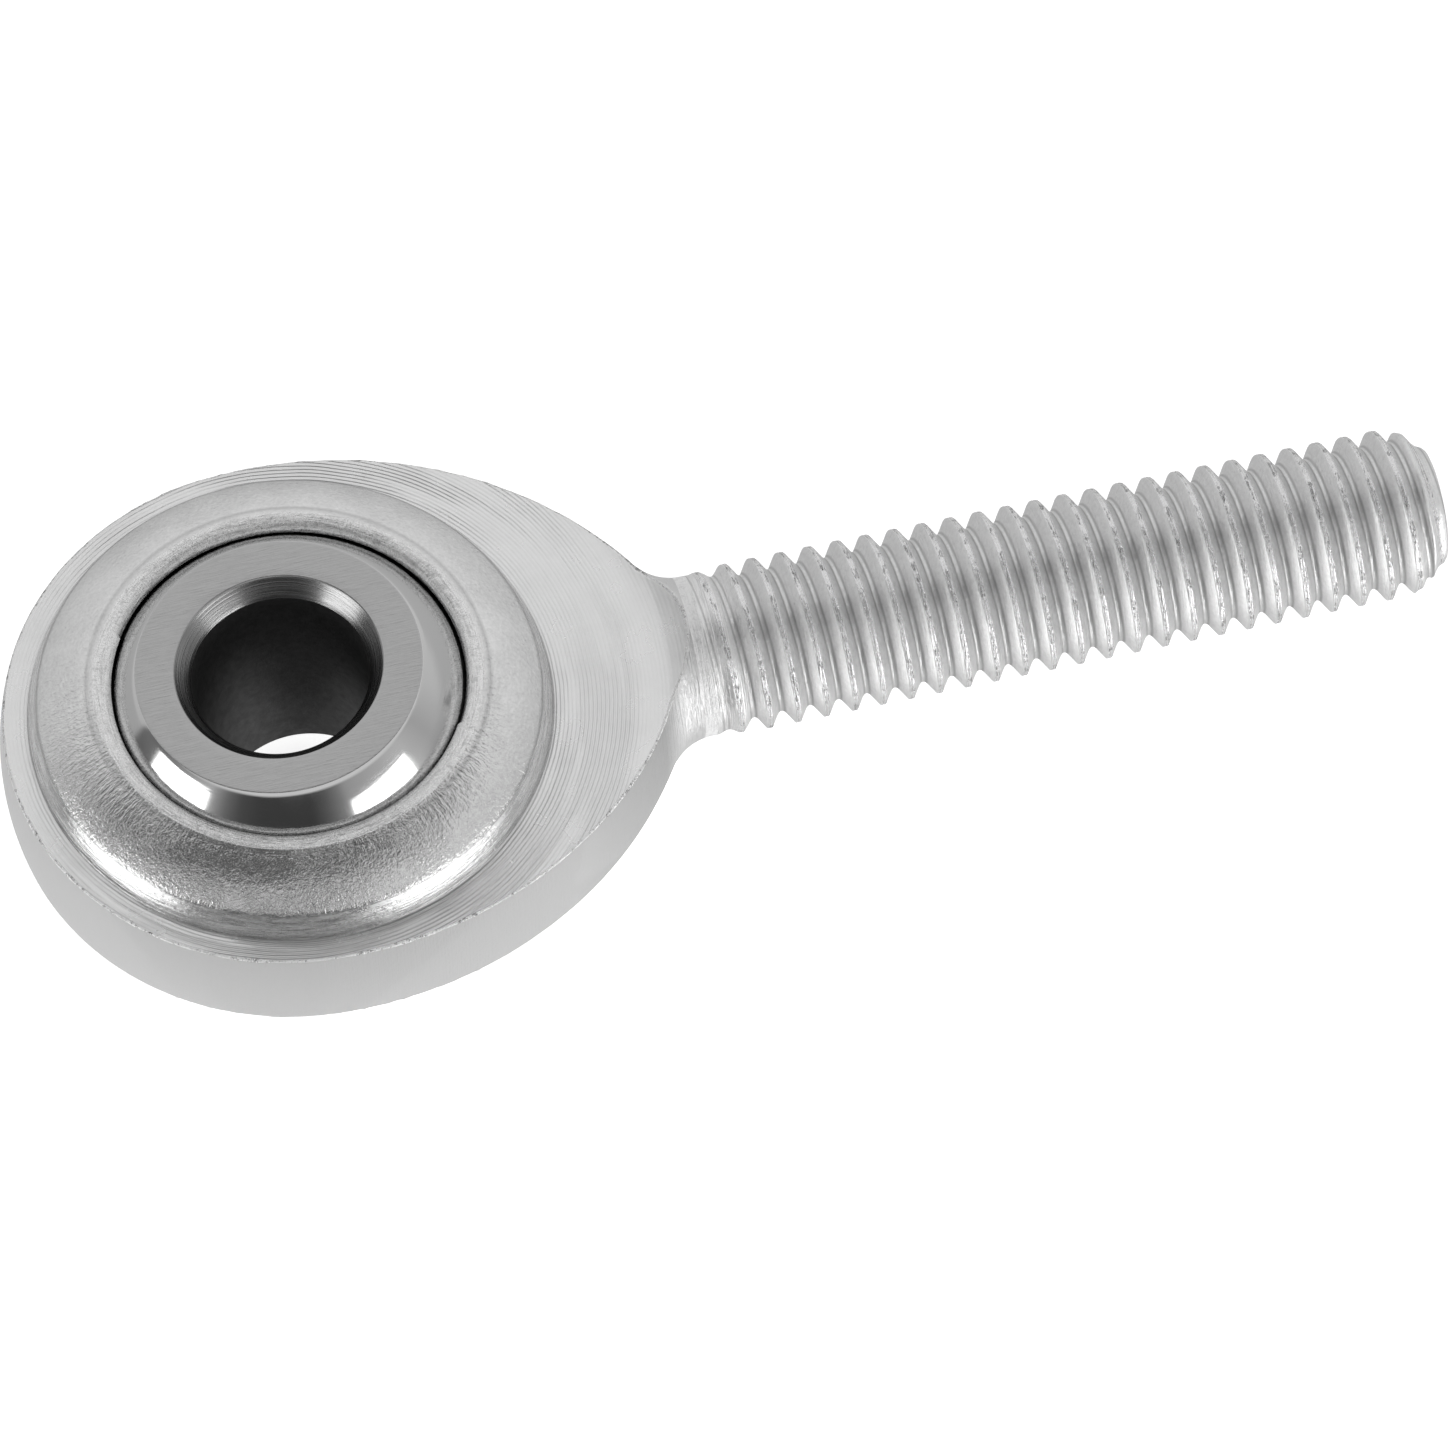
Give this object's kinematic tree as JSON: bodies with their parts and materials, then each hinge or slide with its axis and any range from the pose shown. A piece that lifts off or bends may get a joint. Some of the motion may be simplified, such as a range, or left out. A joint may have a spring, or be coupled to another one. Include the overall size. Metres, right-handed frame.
{
  "type": "rod end bearing",
  "caption": "Male rod end bearing: a swivelling chromed ball with a through bore, held in a domed zinc-plated eye on a right-hand threaded shank.",
  "frame": {"origin": "centre of the ball, which is also the centre of the eye", "axes": "+X along the shank towards its tip, +Z square to the flat sides of the eye"},
  "size_m": [0.04, 0.0158, 0.0084],
  "materials": {
    "zinc_plated_steel": "bright zinc plate over turned and faced steel",
    "hard_chromed_steel": "polished sphere, finely turned end faces"
  },
  "bodies": {
    "rod_end_body": {"rod_end_body": "zinc_plated_steel"},
    "ball": {"ball": "hard_chromed_steel"}
  },
  "joints": [
    {"name": "ball_tilt", "type": "hinge", "parent": "rod_end_body", "child": "ball", "pos_m": [0, 0, 0], "axis": [0, 1, 0], "range_deg": [-7.3, 13.9]}
  ]
}
